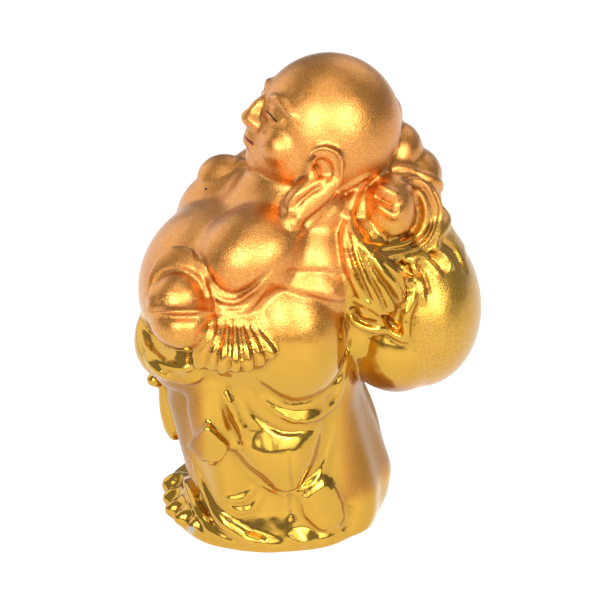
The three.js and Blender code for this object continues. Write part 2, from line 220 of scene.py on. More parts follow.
def wrap_grid(sections):
    """A grid wrapped into a closed shape through rings of points."""
    rings, sides = len(sections), len(sections[0])
    bpy.ops.object.select_all(action="DESELECT")
    bpy.ops.mesh.primitive_grid_add(x_subdivisions=sides, y_subdivisions=rings - 1, size=1)
    item = bpy.context.object
    corners = [sections[r][s % sides] for r in range(rings) for s in range(sides + 1)]
    item.data.vertices.foreach_set("co", np.array(corners, float).ravel())
    bpy.ops.object.mode_set(mode="EDIT")
    bpy.ops.mesh.select_all(action="SELECT")
    bpy.ops.mesh.remove_doubles(threshold=1e-7)
    bpy.ops.mesh.fill_holes(sides=0)
    bpy.ops.mesh.select_all(action="SELECT")
    bpy.ops.mesh.normals_make_consistent(inside=False)
    bpy.ops.object.mode_set(mode="OBJECT")
    item.name = CLAY + "loft"
    return item


def modify(item, kind, **settings):
    """Adds a modifier with its settings and applies it."""
    modifier = item.modifiers.new(kind, kind)
    for key, value in settings.items():
        setattr(modifier, key, value)
    select_only(item)
    bpy.ops.object.modifier_apply(modifier=modifier.name)
    return item


def press(items, name, grain, soften):
    """Joins forms into one skin of the given grain in parts, then rubs it smooth."""
    select_only(*items)
    bpy.ops.object.join()
    item = bpy.context.object
    modify(item, "REMESH", mode="VOXEL", voxel_size=grain * PART, use_smooth_shade=True)
    if soften:
        modify(item, "SMOOTH", factor=0.5, iterations=soften)
    item.name = name
    return item


def cut(item, cutter):
    modify(item, "BOOLEAN", operation="DIFFERENCE", object=cutter, solver="EXACT")
    bpy.data.objects.remove(cutter)
    return item


class Surface:
    """A skin that routes are laid on."""

    def __init__(self, item):
        self.tree = BVHTree.FromPolygons([v.co for v in item.data.vertices],
                                         [p.vertices for p in item.data.polygons])

    def find(self, spot):
        """A pixel lands where its sight meets the skin. A place of the canon stays."""
        if len(spot) == 3:
            return place(*spot)
        look = sight(*spot)
        hit = self.tree.ray_cast(EYE, look)[0]
        return hit or self.brush(spot, look)

    def brush(self, spot, look):
        """A pixel just outside the outline lands on the skin nearest to its sight."""
        best = None
        for step in range(DEPTH_STEPS):
            point = EYE + look * (mix(*DEPTH_RANGE, step / DEPTH_STEPS) * PART)
            near, _, _, gap = self.tree.find_nearest(point)
            if best is None or gap < best[0]:
                best = (gap, near)
        if best[0] > OUTLINE_SLACK * PART:
            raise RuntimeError(f"pixel {spot} passes {best[0] / PART:.1f} parts off the skin")
        return best[1]

    def lay(self, spots, sink=0.0):
        """A smooth route on the skin, set back into it by the given parts."""
        route = []
        for point in smooth_route([self.find(s) for s in spots]):
            near, normal, _, _ = self.tree.find_nearest(point)
            route.append(near - normal * (sink * PART) if len(spots[0]) == 2 else point)
        return route


def swelling(radius, taper):
    """Radii of a roll that is full along its middle and tapers at both ends."""
    return [radius * mix(taper, 1, math.sqrt(max(0, math.sin(math.pi * k / 12)))) for k in range(13)]


def fold_rolls(skin, rows):
    """Rolls of cloth on a skin. A row is (spots, radius, share of the roll that is sunk)."""
    return tubes([(skin.lay(spots, radius * sunk), swelling(radius, 0.35)) for spots, radius, sunk in rows])


def mesh_arrays(item):
    data = item.data
    co = np.empty(len(data.vertices) * 3)
    normals = np.empty(len(data.vertices) * 3)
    data.vertices.foreach_get("co", co)
    data.vertices.foreach_get("normal", normals)
    return co.reshape(-1, 3), normals.reshape(-1, 3)


def move_vertices(item, co):
    item.data.vertices.foreach_set("co", co.ravel())
    item.data.update()


def gap_to_span(points, a, b):
    """How far points lie from a straight span, and the share of it that each is at."""
    d = b - a
    share = np.clip(((points - a) @ d) / max(d @ d, 1e-18), 0, 1)
    return np.linalg.norm(points - a - share[:, None] * d, axis=1), share


def tool_marks(item, skin, rows):
    """Works narrow ridges and creases along routes, as a modelling tool does. A row is
    (spots, width, height). A negative height cuts a crease with a sharp floor."""
    co, normals = mesh_arrays(item)
    shift = np.zeros(len(co))
    for spots, width, height in rows:
        route = np.array(skin.lay(spots))
        reach = width * PART
        low, high = route.min(0) - reach, route.max(0) + reach
        near = np.flatnonzero(((co > low) & (co < high)).all(1))
        best = np.full(len(near), np.inf)
        along = np.zeros(len(near))
        spans = len(route) - 1
        for i in range(spans):
            gap, share = gap_to_span(co[near], route[i], route[i + 1])
            closer = gap < best
            best[closer], along[closer] = gap[closer], ((i + share) / spans)[closer]
        q = np.clip(best / reach, 0, 1)
        fade = np.clip(np.minimum(along, 1 - along) * 4, 0, 1)
        shape = (1 - q * q) ** 2 if height > 0 else (1 - q) ** 1.6
        shift[near] += shape * fade * height * PART
    move_vertices(item, co + normals * shift[:, None])


def inside_by(points, outline):
    """How far points lie inside a closed outline, and outside it as a negative distance."""
    corners = np.array(outline, float)
    gap = np.full(len(points), np.inf)
    inside = np.zeros(len(points), bool)
    for a, b in zip(corners, np.roll(corners, -1, axis=0)):
        gap = np.minimum(gap, gap_to_span(points, a, b)[0])
        if a[1] != b[1]:
            crosses = (a[1] > points[:, 1]) != (b[1] > points[:, 1])
            inside ^= crosses & (points[:, 0] < a[0] + (points[:, 1] - a[1]) * (b[0] - a[0]) / (b[1] - a[1]))
    return np.where(inside, gap, -gap)


def raise_shown(item, rows, share_of):
    """Raises the skin on the side that the camera sees. A row is (outline in pixels, height in
    parts, detail), and share_of tells how much of the height each pixel gets."""
    co, normals = mesh_arrays(item)
    skin = Surface(item)
    shown = pixels_of(co)
    shift = np.zeros(len(co))
    for outline, height, detail in rows:
        corners = np.array(outline, float)
        low, high = corners.min(0) - REACH_PIXELS, corners.max(0) + REACH_PIXELS
        near = np.flatnonzero(((shown > low) & (shown < high)).all(1))
        near = near[normals[near] @ np.array(BACK) > LEAST_FACING]
        share = share_of(shown[near], corners, detail)
        near, share = near[share != 0], share[share != 0]
        for vertex, amount in zip(near, share):
            point = Vector(co[vertex])
            hit = skin.tree.ray_cast(EYE, (point - EYE).normalized())[0]
            if hit and (hit - point).length < SIGHT_SLACK * PART:
                shift[vertex] += amount * height * PART
    move_vertices(item, co + normals * shift[:, None])


def gap_to(pixels, line):
    """How far pixels lie from an open line."""
    return np.minimum.reduce([gap_to_span(pixels, a, b)[0] for a, b in zip(line, line[1:])])


def swag_share(pixels, upper, lower):
    """A ledge of cloth that slopes out from its upper line, and turns back under above its
    lower line. Both lines start and end together. A wide place rises more than a narrow one."""
    upper, lower = (np.array(smooth_route([Vector(spot) for spot in line], 6)) for line in (upper, lower))
    gaps = gap_to(pixels, upper), gap_to(pixels, lower)
    width = np.maximum(gaps[0] + gaps[1], 1e-6)
    share = gaps[0] / width
    rise = np.where(share < SWAG_CREST, share / SWAG_CREST,
                    np.cos((share - SWAG_CREST) / (1 - SWAG_CREST) * math.pi / 2))
    inside = inside_by(pixels, np.concatenate([upper, lower[::-1]])) > 0
    rise -= SWAG_SINK * (1 - share) * np.clip(gaps[0] / SWAG_LIP, 0, 1)
    return np.where(inside, rise * width / VIEW["scale"], 0)


def flat_share(pixels, corners, edge):
    """A flat top inside the outline, with a rounded step of the edge's width."""
    share = np.clip(inside_by(pixels, corners) / edge + 0.5, 0, 1)
    return share * share * (3 - 2 * share)


def domed_share(pixels, corners, power):
    """A dome over the oval between two corners of its box. A power of a half is a round one."""
    low, high = corners.min(0), corners.max(0)
    q = (((pixels - (low + high) / 2) / ((high - low) / 2)) ** 2).sum(1)
    return np.clip(1 - q, 0, 1) ** power


# Flesh: neck, bare chest and belly

BELLY = form(0, -7.4, 45, (18, 17.4, 17.2))
TRUNK = [
    (0, 1.5, 50, (17, 14.5, 15.5)),
    (7, 4.6, 50.4, (11, 10.6, 12.8)),
    (10.2, -5.8, 56.6, (9.2, 10.6, 8), (24, 0, 12)),
    (-10.2, -5.8, 56.6, (9.2, 10.6, 8), (24, 0, -12)),
    (7.4, 6.6, 62.6, (5.6, 6.6, 5)),
    (8.5, 13.6, 39, (5, 4.4, 7)),
]
NECK = [(0, 8, 70), (0, 4, 64), (0, 2, 56)]
NECK_RADII = [8.6, 9.4, 13]
CHIN_ROLL = [(-8.6, 1.5, 66), (-5, -3.4, 63.4), (0, -5.6, 62.4), (5, -3.4, 63.4), (8.6, 1.5, 66)]


def model_trunk(grain):
    items = [ball(BELLY, 64), *masses(TRUNK), limb(NECK, NECK_RADII), limb(CHIN_ROLL, swelling(2.5, 0.5))]
    return press(items, CLAY + "trunk", grain, 18)


# Head. Its own frame is x to the figure's left, forward out of the face, up to the crown.

HEAD = {"y": 10.2, "z": 75.5, "radius": 13, "tilt": 28}
FACE_MASSES = [
    (0, 0, 0, (0.97, 1, 1)),
    (0, 0.3, -0.42, (0.8, 0.68, 0.66)),
    (0, 0.6, -0.82, (0.3, 0.26, 0.22)),
    (0, 1.04, -0.35, (0.17, 0.15, 0.12)),
]
FACE_PAIRS = [
    (0.42, 0.62, -0.42, (0.34, 0.3, 0.3)),
    (0.13, 0.98, -0.36, (0.1, 0.11, 0.09)),
]
FACE_ROLLS = [
    ([(0, 0.98, 0.02), (0, 1.04, -0.16), (0, 1.09, -0.32)], 0.09),
    ([(-0.24, 0.9, -0.57), (-0.08, 0.97, -0.55), (0.08, 0.97, -0.55), (0.24, 0.9, -0.57)], 0.05),
    ([(-0.2, 0.88, -0.65), (0, 0.95, -0.66), (0.2, 0.88, -0.65)], 0.06),
]
FACE_ROLL_PAIRS = [
    ([(0.12, 0.98, 0.04), (0.36, 0.93, 0.14), (0.66, 0.74, 0.06)], 0.06),
    ([(0.18, 0.93, -0.08), (0.36, 0.92, -0.03), (0.58, 0.79, -0.1)], 0.05),
    ([(0.18, 0.93, -0.12), (0.36, 0.91, -0.16), (0.56, 0.79, -0.13)], 0.045),
]
# The long ear slants forward to its lobe. Places are on the canon, for the left ear. A roll
# is (stops, radius, taper).
EAR_MASSES = [
    (11, 6.4, 72, (1.2, 2.9, 3.2), (-14, 0, 0)),
    (11.2, 3.6, 67.2, (2.4, 2.7, 4.8), (-48, 0, 0)),
    (12.7, 0.5, 62.8, (2.3, 2.3, 2.2), (0, 0, 0)),
]
EAR_ROLLS = [
    # the rim and the fold inside it
    ([(12.6, 3.1, 74), (12.9, 3.8, 75.3), (13.1, 5.1, 76.1), (13.2, 6.3, 76.4), (13.3, 7.7, 75.9),
      (13.3, 9, 74.9), (13.3, 9.5, 73), (13.2, 9.5, 70.5), (12.9, 8.8, 68.5)], 0.6, 0.5),
    ([(12.2, 4.3, 73.2), (12.6, 5, 74.5), (12.7, 6.2, 74.9), (12.8, 7.7, 74.3), (12.8, 8.5, 72.7),
      (12.8, 8.6, 70.6), (12.9, 7.9, 69)], 0.5, 0.5),
    # the long lobe, and the thin edge in front of it
    ([(12.5, 8.4, 70.4), (12.6, 7.4, 68.6), (12.6, 5.6, 66.8), (12.7, 3.1, 64.8), (12.7, 0.7, 62.8)],
     1.5, 0.6),
    ([(12.2, 5.7, 71.6), (12.5, 6.1, 70.4), (12.6, 5.4, 69.4), (12.7, 3.8, 68.9), (12.7, 2, 68.3),
      (12.6, 0.7, 67), (12.5, -0.1, 65.6)], 0.45, 0.3),
]


def in_head(x, forward, up):
    """A place in the head's frame, given in shares of its radius, on the canon."""
    tilt, r = math.radians(HEAD["tilt"]), HEAD["radius"]
    return (x * r, HEAD["y"] + (up * math.sin(tilt) - forward * math.cos(tilt)) * r,
            HEAD["z"] + (forward * math.sin(tilt) + up * math.cos(tilt)) * r)


def face_ball(x, forward, up, radii):
    return ball(form(*in_head(x, forward, up), [r * HEAD["radius"] for r in radii], (-HEAD["tilt"], 0, 0)))


def face_roll(route, radius, side=1):
    points = [place(*in_head(side * x, f, u)) for x, f, u in route]
    return smooth_route(points), swelling(radius * HEAD["radius"], 0.4)


def ear(side):
    items = [ball(form(side * x, y, z, radii, turn)) for x, y, z, radii, turn in EAR_MASSES]
    rolls = [(smooth_route([place(side * x, y, z) for x, y, z in stops]), swelling(radius, taper))
             for stops, radius, taper in EAR_ROLLS]
    return [*items, tubes(rolls)]


def model_head(grain):
    items = [face_ball(*row) for row in FACE_MASSES]
    for side in (-1, 1):
        items += [face_ball(side * x, f, u, radii) for x, f, u, radii in FACE_PAIRS]
    skull = press(items, CLAY + "skull", grain, 10)
    rolls = [face_roll(*row) for row in FACE_ROLLS]
    rolls += [face_roll(*row, side) for row in FACE_ROLL_PAIRS for side in (-1, 1)]
    items = [skull, tubes(rolls)]
    for side in (-1, 1):
        items += ear(side)
    return press(items, CLAY + "head", grain, 3)


# Robe below the waist, and its wrap over the back and the right side

# Outlines of the skirt: (height, half width, front, back, depth of its folds)
ROBE_OUTLINES = [
    (0.4, 19.8, 16.8, 19.6, 0.3), (3, 19, 16.8, 20.8, 0.5), (7.6, 17.6, 16.8, 21.4, 0.6),
    (12, 17.2, 17.2, 20.2, 0.5), (18, 16.6, 18.6, 18.2, 0.4), (25, 16.6, 20.2, 15.8, 0.3),
    (32, 16.6, 19.6, 15.4, 0), (37, 17, 16.4, 15.4, 0),
]
ROBE_HEIGHTS = [row[0] for row in ROBE_OUTLINES]
ROBE_FOLDS = 9
# Folds down the back and the right side: (angle above, angle at the hem, upper end), and the
# heights at which they bend and end
HIDDEN_FOLDS = [(88, 80, 26), (108, 104, 31), (132, 128, 28), (158, 155, 33), (186, 190, 29), (214, 222, 33)]
HIDDEN_FOLD_BEND = 17
HIDDEN_FOLD_END = 4
SQUARENESS = 2.5
# The front of the skirt is hollowed above the toes.
TOE_HOLLOW = (-1.6, -18.6, 1.6, (13.4, 8, 9.4))
WRAP = form(-2.4, 5, 47, (18, 14, 19.5))
FLANK = form(-9.6, -1, 45, (11, 14, 19), (0, -6, 14))
# The robe's edge comes over the right shoulder and then follows the belly, by its longitude
# and latitude. Folds of the wrap fan out below the shoulder, first on the flank.
SHOULDER_EDGE = [(-6.6, 1.6, 67), (-12.4, -7.6, 62.6)]
OPEN_EDGE = [(200, 36), (203, 8), (210, -22), (234, -48), (262, -60)]
WRAP_FOLDS = [(214, FLANK), (188.5, FLANK), (163, WRAP), (137.5, WRAP), (112, WRAP)]
WRAP_FOLD_STOPS = [(-8, 52), (0, 10), (4, -40)]


def squared(value):
    return math.copysign(abs(value) ** (2 / SQUARENESS), value)


def ring(centre, reach_x, front, back, z, sides, wave=0.0, waves=0):
    """A squarish oval outline, drawn in and out by waves."""
    points = []
    for j in range(sides):
        angle = 2 * math.pi * j / sides
        swell = 1 + wave * math.cos(waves * angle)
        depth = back if math.sin(angle) > 0 else front
        points.append(place(centre + squared(math.cos(angle)) * reach_x * swell,
                            squared(math.sin(angle)) * depth * swell, z))
    return points


def model_robe(grain):
    sections = [ring(0, width, front, back, z, 90, folds / width, ROBE_FOLDS)
                for z, width, front, back, folds in ROBE_OUTLINES]
    skirt = wrap_grid(sections)
    modify(skirt, "REMESH", mode="VOXEL", voxel_size=grain * PART)
    skirt = cut(skirt, ball(form(*TOE_HOLLOW)))
    return press([skirt, ball(WRAP), ball(FLANK)], CLAY + "robe", grain, 8)


def on_robe(angle, z):
    """A place on the robe's outline. Angle 0 is the left side, 90 the back."""
    width, front, back = (np.interp(z, ROBE_HEIGHTS, [row[i] for row in ROBE_OUTLINES]) for i in (1, 2, 3))
    across, along = math.cos(math.radians(angle)), math.sin(math.radians(angle))
    return place(squared(across) * width, squared(along) * (back if along > 0 else front), z)


def robe_edges():
    """The rolled edge of the wrap, and the folds that the camera doesn't see."""
    edge = [*(place(*p) for p in SHOULDER_EDGE), *(on_form(BELLY, *p) for p in OPEN_EDGE)]
    rows = [(smooth_route(edge), swelling(1.9, 0.3))]
    for longitude, under in WRAP_FOLDS:
        fold = [on_form(under, longitude + turn, latitude) for turn, latitude in WRAP_FOLD_STOPS]
        rows.append((smooth_route(fold), swelling(1.3, 0.3)))
    for high, low, top in HIDDEN_FOLDS:
        bend = on_robe(mix(high, low, 0.4), HIDDEN_FOLD_BEND)
        fold = [on_robe(high, top), bend, on_robe(low, HIDDEN_FOLD_END)]
        rows.append((smooth_route(fold), swelling(1.1, 0.3)))
    return tubes(rows)


# Left arm and its wide sleeve

# The elbow, the forearm, the open cuff and what fills it beside the ingot
SLEEVE_MASSES = [
    (12.4, 0.6, 40.6, (9.5, 10, 13.2), (4, 0, 0)),
    (12.6, -9.4, 42.2, (8, 9.2, 8.4), (-10, 0, 0)),
    (6.4, -16.4, 36.4, (9.4, 8, 7), (14, 0, 0)),
    (13, -17.6, 38.4, (4.8, 3.8, 4.4)),
]
# The arm, the front panel, what stands behind it and the rolled edge of the cuff: (stops, radii)
SLEEVE_LIMBS = [
    ([(13, -4, 38), (11, -13, 38), (7.6, -19.6, 38)], [7, 6.6, 5.4]),
    ([(11.6, -11.4, 43), (12.6, -12.8, 35), (13.4, -13.6, 28), (13.6, -13.4, 20.4)], [4.6, 5, 5, 3.4]),
    ([(12.4, -7, 42), (13, -8.4, 34), (13.2, -8.8, 27), (14, -8.8, 21)], [5, 5, 5, 4.2]),
    ([(-3.6, -20, 43.6), (0, -23, 39.6), (5.6, -24, 37.4), (11.6, -22.6, 36.8), (16.8, -17.8, 39.4)],
     [1.6, 2.4, 2.6, 2.4, 1.6]),
]
# Outlines of the hanging sleeve: (height, front, back, outer side)
SLEEVE_OUTLINES = [
    (38, -12.4, 10.6, 17.2), (32, -13.8, 10.6, 18.2), (25.6, -13.2, 8.4, 18.4), (21.4, -12.2, 7, 20.2),
    (17.6, -9.8, 5.8, 20.6), (12.6, -4.6, 2.2, 19.8),
]
SLEEVE_MIDDLE = 8


def model_sleeve(grain):
    sections = []
    for z, front, back, reach in SLEEVE_OUTLINES:
        middle, half = (front + back) / 2, (back - front) / 2
        outline = ring(SLEEVE_MIDDLE, reach - SLEEVE_MIDDLE, half, half, z, 60)
        sections.append([p + Vector((0, middle * PART, 0)) for p in outline])
    items = [wrap_grid(sections), *masses(SLEEVE_MASSES), *(limb(*row) for row in SLEEVE_LIMBS)]
    return press(items, CLAY + "sleeve", grain, 10)


# Ingot: a boat-shaped hull with a dome in it. Its near end is low, and its far end stands
# up in a broad wing against the belly.

HULL = (13.2, -18.8, 47, (8.4, 6.1, 5.4), (0, 0, -9))
WING_PLATE = (10.2, -19.2, 51.4, (6.6, 2.4, 6.2), (-27, 0, 38))
WING = [(151, 316), (149, 295), (152, 275), (161, 259), (174, 250), (191, 251), (201, 261), (208, 275),
        (212, 292), (212, 316)]
WING_DISH = [(157, 311), (155, 292), (158, 279), (166, 271), (178, 269), (190, 271), (199, 279),
             (205, 292), (206, 311)]
INGOT_DOME = (13.6, -19.6, 50.4, (4.5, 4.5, 4.3))


def model_ingot(grain):
    return press(masses([HULL, WING_PLATE, INGOT_DOME]), CLAY + "ingot", grain, 6)


# Right arm raised behind the head, its cuff and the fist

FAR_ARM = [(-14, 7, 60), (-14, 14, 66), (-7, 20, 67), (1, 21, 62)]
FAR_ARM_RADII = [7.8, 7.6, 7.2, 6.8]
# The shoulder, the breast before it and the three bunched folds of the sleeve
FAR_MASSES = [
    (-12.6, 3, 58.6, (9, 10.4, 9.2), (0, -18, 0)),
    (-11.6, -6.6, 62, (5.2, 5.2, 4.2), (0, 20, 0)),
    (-5.4, 20.4, 75, (5.6, 4.6, 4.6)),
    (-4, 23.8, 69, (6.4, 4.6, 4.4)),
    (-2.6, 27.2, 64, (6.8, 4.6, 4.6)),
]
FIST = form(8.2, 19, 61.8, (5.9, 4.9, 6.7), (-10, 0, 0))
# What joins the fist to the sack, the far sleeve and the neck
FIST_FILL = [
    (8.4, 22.6, 51.2, (4.6, 4.2, 4.6)),
    (4, 22, 58.8, (5, 8.2, 8.6)),
    (4, 13, 61.6, (7, 7, 6)),
    (8.4, 18, 55.8, (5, 5.4, 4.6)),
]
CUFF_RINGS = [
    ([(371, 177), (391, 169), (412, 170), (430, 179), (442, 192), (446, 212), (440, 233), (429, 248),
      (412, 257), (392, 261), (374, 257)], 1.3, 0.3),
    ([(398, 176), (416, 180), (430, 190), (437, 202), (438, 218), (432, 234), (420, 247), (400, 254),
      (382, 256), (369, 252)], 1.1, 0.2),
    ([(402, 184), (416, 191), (424, 203), (426, 219), (419, 234), (407, 242), (390, 247), (374, 248),
      (365, 243)], 1.0, 0.2),
    ([(370, 177), (357, 191), (350, 208), (348, 226), (353, 242), (365, 252)], 1.3, 0.2),
]
FINGER_MARKS = [
    ([(375, 187), (388, 191), (400, 199)], 1.3, 0.8),
    ([(374, 196), (385, 202), (395, 207)], 0.9, -0.9),
    ([(371, 200), (383, 209), (394, 216), (402, 207)], 1.1, 0.7),
]


def model_far_arm(grain):
    return press([*masses(FAR_MASSES), limb(FAR_ARM, FAR_ARM_RADII)], CLAY + "far_arm", grain, 3)


def model_fist(grain):
    return press([ball(FIST), *masses(FIST_FILL)], CLAY + "fist", grain, 2)


# Sack on the back, with its gathered neck and the loose folds over it

SACK = form(1.5, 26.2, 40, (16.4, 12.1, 15.6))
SACK_NECK = [(3, 22, 59), (2.4, 23.6, 55), (2, 25, 49)]
SACK_NECK_RADII = [5.4, 8.2, 10.8]
# Pleats round the far side of the neck: their directions in degrees, and their stops as
# (distance from the neck, y, z)
NECK_PLEATS = (60, 84, 108, 132, 156, 180)
NECK_PLEAT_STOPS = [(6.4, 23, 57.6), (10, 24.4, 52.6), (13.4, 25.8, 47)]
SACK_BELLY = (2.6, 21.8, 36, (14.6, 10.6, 11.6))
DRAPE = (10.8, 14.8, 50.4, (5.8, 6, 11.4), (8, 0, 0))
SACK_PLEATS = [
    ([(413, 259), (419, 283), (424, 306)], 1.1, 0.8),
    ([(418, 258), (425, 278), (429, 294)], 1.0, -0.8),
    ([(424, 255), (433, 268), (440, 280)], 1.2, 0.8),
    ([(429, 251), (438, 262), (446, 275)], 1.0, -0.8),
    ([(434, 247), (445, 257), (452, 272)], 1.1, 0.7),
    ([(440, 238), (456, 251), (467, 275)], 1.1, -0.8),
]
DRAPE_OUTLINE = [(343, 215), (356, 222), (374, 251), (391, 266), (415, 283), (414, 300), (409, 318),
                 (411, 343), (396, 336), (384, 330), (364, 326), (351, 315), (347, 292), (341, 240)]
DRAPE_FOLDS = [
    ([(343, 222), (347, 250), (354, 276), (364, 300)], 1.4, 0.15),
    ([(351, 228), (359, 256), (369, 281), (380, 305)], 1.5, 0.15),
    ([(359, 240), (370, 264), (383, 288), (393, 312)], 1.6, 0.15),
    ([(367, 250), (381, 268), (396, 286), (402, 306)], 2.2, 0.3),
    ([(374, 251), (391, 266), (413, 283), (413, 300), (407, 318), (408, 341)], 1.2, 0.35),
    ([(348, 292), (349, 308), (355, 321), (368, 327), (384, 330), (396, 336), (408, 343)], 1.1, 0.25),
    ([(351, 299), (362, 301), (374, 307), (387, 318)], 1.0, 0.25),
]


def model_sack(grain):
    items = [ball(SACK, 64), ball(form(*SACK_BELLY)), limb(SACK_NECK, SACK_NECK_RADII)]
    sack = press(items, CLAY + "sack", grain, 10)
    rows = []
    for angle in map(math.radians, NECK_PLEATS):
        across, along = math.cos(angle), math.sin(angle) * 0.8
        route = [place(2 + across * r, y + along * r, z) for r, y, z in NECK_PLEAT_STOPS]
        rows.append((smooth_route(route), swelling(0.95, 0.3)))
    return press([sack, tubes(rows)], CLAY + "sack", grain, 1)


# Base, feet and the cord with its bead and tassel

BASE = {"width": 40.6, "depth": 42, "thickness": 3.4}
# Its edge from the ground up: (share of the thickness, share of the width)
BASE_EDGE = [(0, 0.97), (0.12, 0.995), (0.4, 1), (0.75, 0.99), (1, 0.95)]
BASE_SIDES = 72


def base():
    sections = []
    for rise, spread in BASE_EDGE:
        section = []
        for j in range(BASE_SIDES):
            angle = 2 * math.pi * j / BASE_SIDES
            uneven = 1 - 0.012 * (1 + math.cos(5 * angle + 1)) - 0.006 * math.cos(11 * angle)
            section.append(place(math.cos(angle) * BASE["width"] / 2 * spread * uneven,
                                 math.sin(angle) * BASE["depth"] / 2 * spread * uneven,
                                 rise * BASE["thickness"]))
        sections.append(section)
    return wrap_grid(sections)


# Toes: (x, y, z, radius), and the foot behind them
NEAR_TOES = [(-4.9, -17.4, 3, 2.4), (-0.5, -18.4, 2.7, 2.1), (3.6, -18.8, 2.6, 2), (7.2, -18, 2.6, 1.8),
             (10.4, -16.2, 2.6, 1.7)]
NEAR_FOOT = (3, -12.2, 3, (9.8, 6.8, 4.6))
FAR_TOES = [(-11.6 - i * 1.9, -12.4 + i * i * 0.35, 2.5, 1.5 - i * 0.1) for i in range(4)]
FAR_FOOT = (-13, -6.6, 2.8, (5.4, 6.4, 3.6))


def foot(body, toes):
    items = [ball(form(*body))]
    for x, y, z, radius in toes:
        items.append(ball(form(x, y, z, (radius * 0.92, radius * 1.5, radius)), 24))
    return items


# The cord that hangs from the belt at the front, its bead and its tassel
CORD = [(-2, -20, 34), (-4.6, -20, 29), (-5, -19.6, 24)]
BEAD = (-5, -21.5, 25.7, (1.7, 1.7, 1.5))
TASSEL = [(-5, -19.6, 25), (-5, -18.8, 19), (-5, -17.9, 12.6)]
TASSEL_RADII = [1.1, 1.8, 2.1, 1.9, 0.9]


def cord_and_tassel():
    return [limb(CORD, swelling(1.1, 0.8)), limb(TASSEL, TASSEL_RADII), ball(form(*BEAD), 24)]


# Folds laid on the modelled cloth: (spots, radius in parts, share sunk into the cloth)

SLEEVE_FOLDS = [
    # the hem, from the panel's tip round to the back
    ([(232, 455), (245, 468), (259, 480), (278, 491), (298, 491), (315, 480), (326, 459), (340, 410)],
     1.0, 0.5),
]
# Swags of cloth: (upper line in pixels, steepness, lower line)
SWAGS = [
    # the band over the upper arm
    ([(264, 280), (284, 270), (315, 269), (345, 272), (354, 286)], 0.22,
     [(264, 280), (290, 293), (316, 299), (344, 302), (354, 286)]),
    # the flared foot of the pleats
    ([(190, 352), (198, 330), (214, 320), (236, 319), (256, 326), (281, 350)], 0.24,
     [(190, 352), (202, 369), (222, 375), (242, 374), (264, 366), (281, 350)]),
    # under the elbow
    ([(252, 379), (262, 392), (280, 404), (300, 407), (318, 402), (334, 388), (348, 350)], 0.3,
     [(252, 379), (264, 403), (284, 420), (302, 425), (324, 417), (341, 397), (348, 350)]),
    # two crescents and the foot of the robe
    ([(216, 494), (230, 493), (244, 488), (262, 477)], 0.25,
     [(216, 494), (232, 503), (248, 499), (262, 477)]),
    ([(222, 502), (236, 504), (250, 501), (270, 483)], 0.28,
     [(222, 502), (238, 514), (255, 509), (270, 483)]),
    ([(286, 536), (292, 527), (303, 524), (314, 528), (320, 536)], 0.25,
     [(286, 536), (296, 546), (308, 546), (320, 536)]),
]
# The robe's border across the breast
BORDER_FOLDS = [
    ([(212, 293), (220, 299), (236, 301), (250, 292), (264, 281), (276, 268)], 0.8, 0.4),
    ([(216, 306), (230, 312), (246, 309), (258, 297), (268, 284)], 0.8, 0.4),
]
# The robe's edge behind the neck and over the shoulder
NECKLINE = [
    ([(336, 194), (346, 187), (358, 180), (372, 173)], 0.9, 0.3),
    ([(343, 189), (331, 199), (318, 213), (305, 229), (290, 239)], 1.0, 0.45),
]
CUFF_FOLDS = [
    ([(141, 338), (152, 354), (170, 366), (192, 366), (208, 352)], 1.0, 0.4),
    ([(144, 352), (158, 370), (180, 380), (204, 374)], 1.2, 0.4),
]
ROBE_FOLD_ROLLS = [
    # the tongue of the fold behind the sleeve
    ([(302, 498), (307, 514), (320, 526), (341, 530)], 0.9, 0.5),
    # the front hem in two ridges
    ([(193, 461), (204, 487), (214, 508), (228, 526), (248, 538), (268, 543)], 1.7, 0.35),
    ([(183, 470), (192, 495), (202, 515), (217, 532), (240, 545)], 1.4, 0.4),
]
# Raised cloth: (outline in pixels, height in parts, edge in pixels)
PATCHES = [
    # the square tip of the front panel
    ([(208, 421), (228, 444), (215, 464), (192, 442)], 1.6, 2),
    (DRAPE_OUTLINE, 1.2, 6),
    # the fold that hangs behind the sleeve
    ([(299, 494), (309, 485), (322, 476), (333, 486), (340, 500), (343, 516), (336, 528), (321, 527),
      (306, 513)], 1.5, 12),
    (WING, 1.1, 3),
    (WING_DISH, -0.6, 5),
]
# A dome over the back of the fist: (two corners in pixels, height in parts, power)
FIST_DOME = [(363, 171), (414, 244)]
DOMES = [(FIST_DOME, 0.4, 0.5)]
# Pleats fan from under the breast: (start, end, radius)
PLEATS = [
    ((214, 317), (200, 364), 2.0), ((221, 318), (212, 369), 1.1), ((228, 318), (223, 371), 1.2),
    ((235, 318), (235, 370), 1.15), ((241, 319), (248, 369), 1.3), ((247, 321), (261, 364), 1.2),
    ((253, 325), (273, 356), 1.3),
]
PLEAT_SWELL = (0.25, 0.45, 0.7, 0.95, 1, 0.7)
# Shares across and down at which a pleat bends, and the width and depth of the creases between
PLEAT_BEND = (0.42, 0.5)
PLEAT_CREASE = (0.7, -0.3)
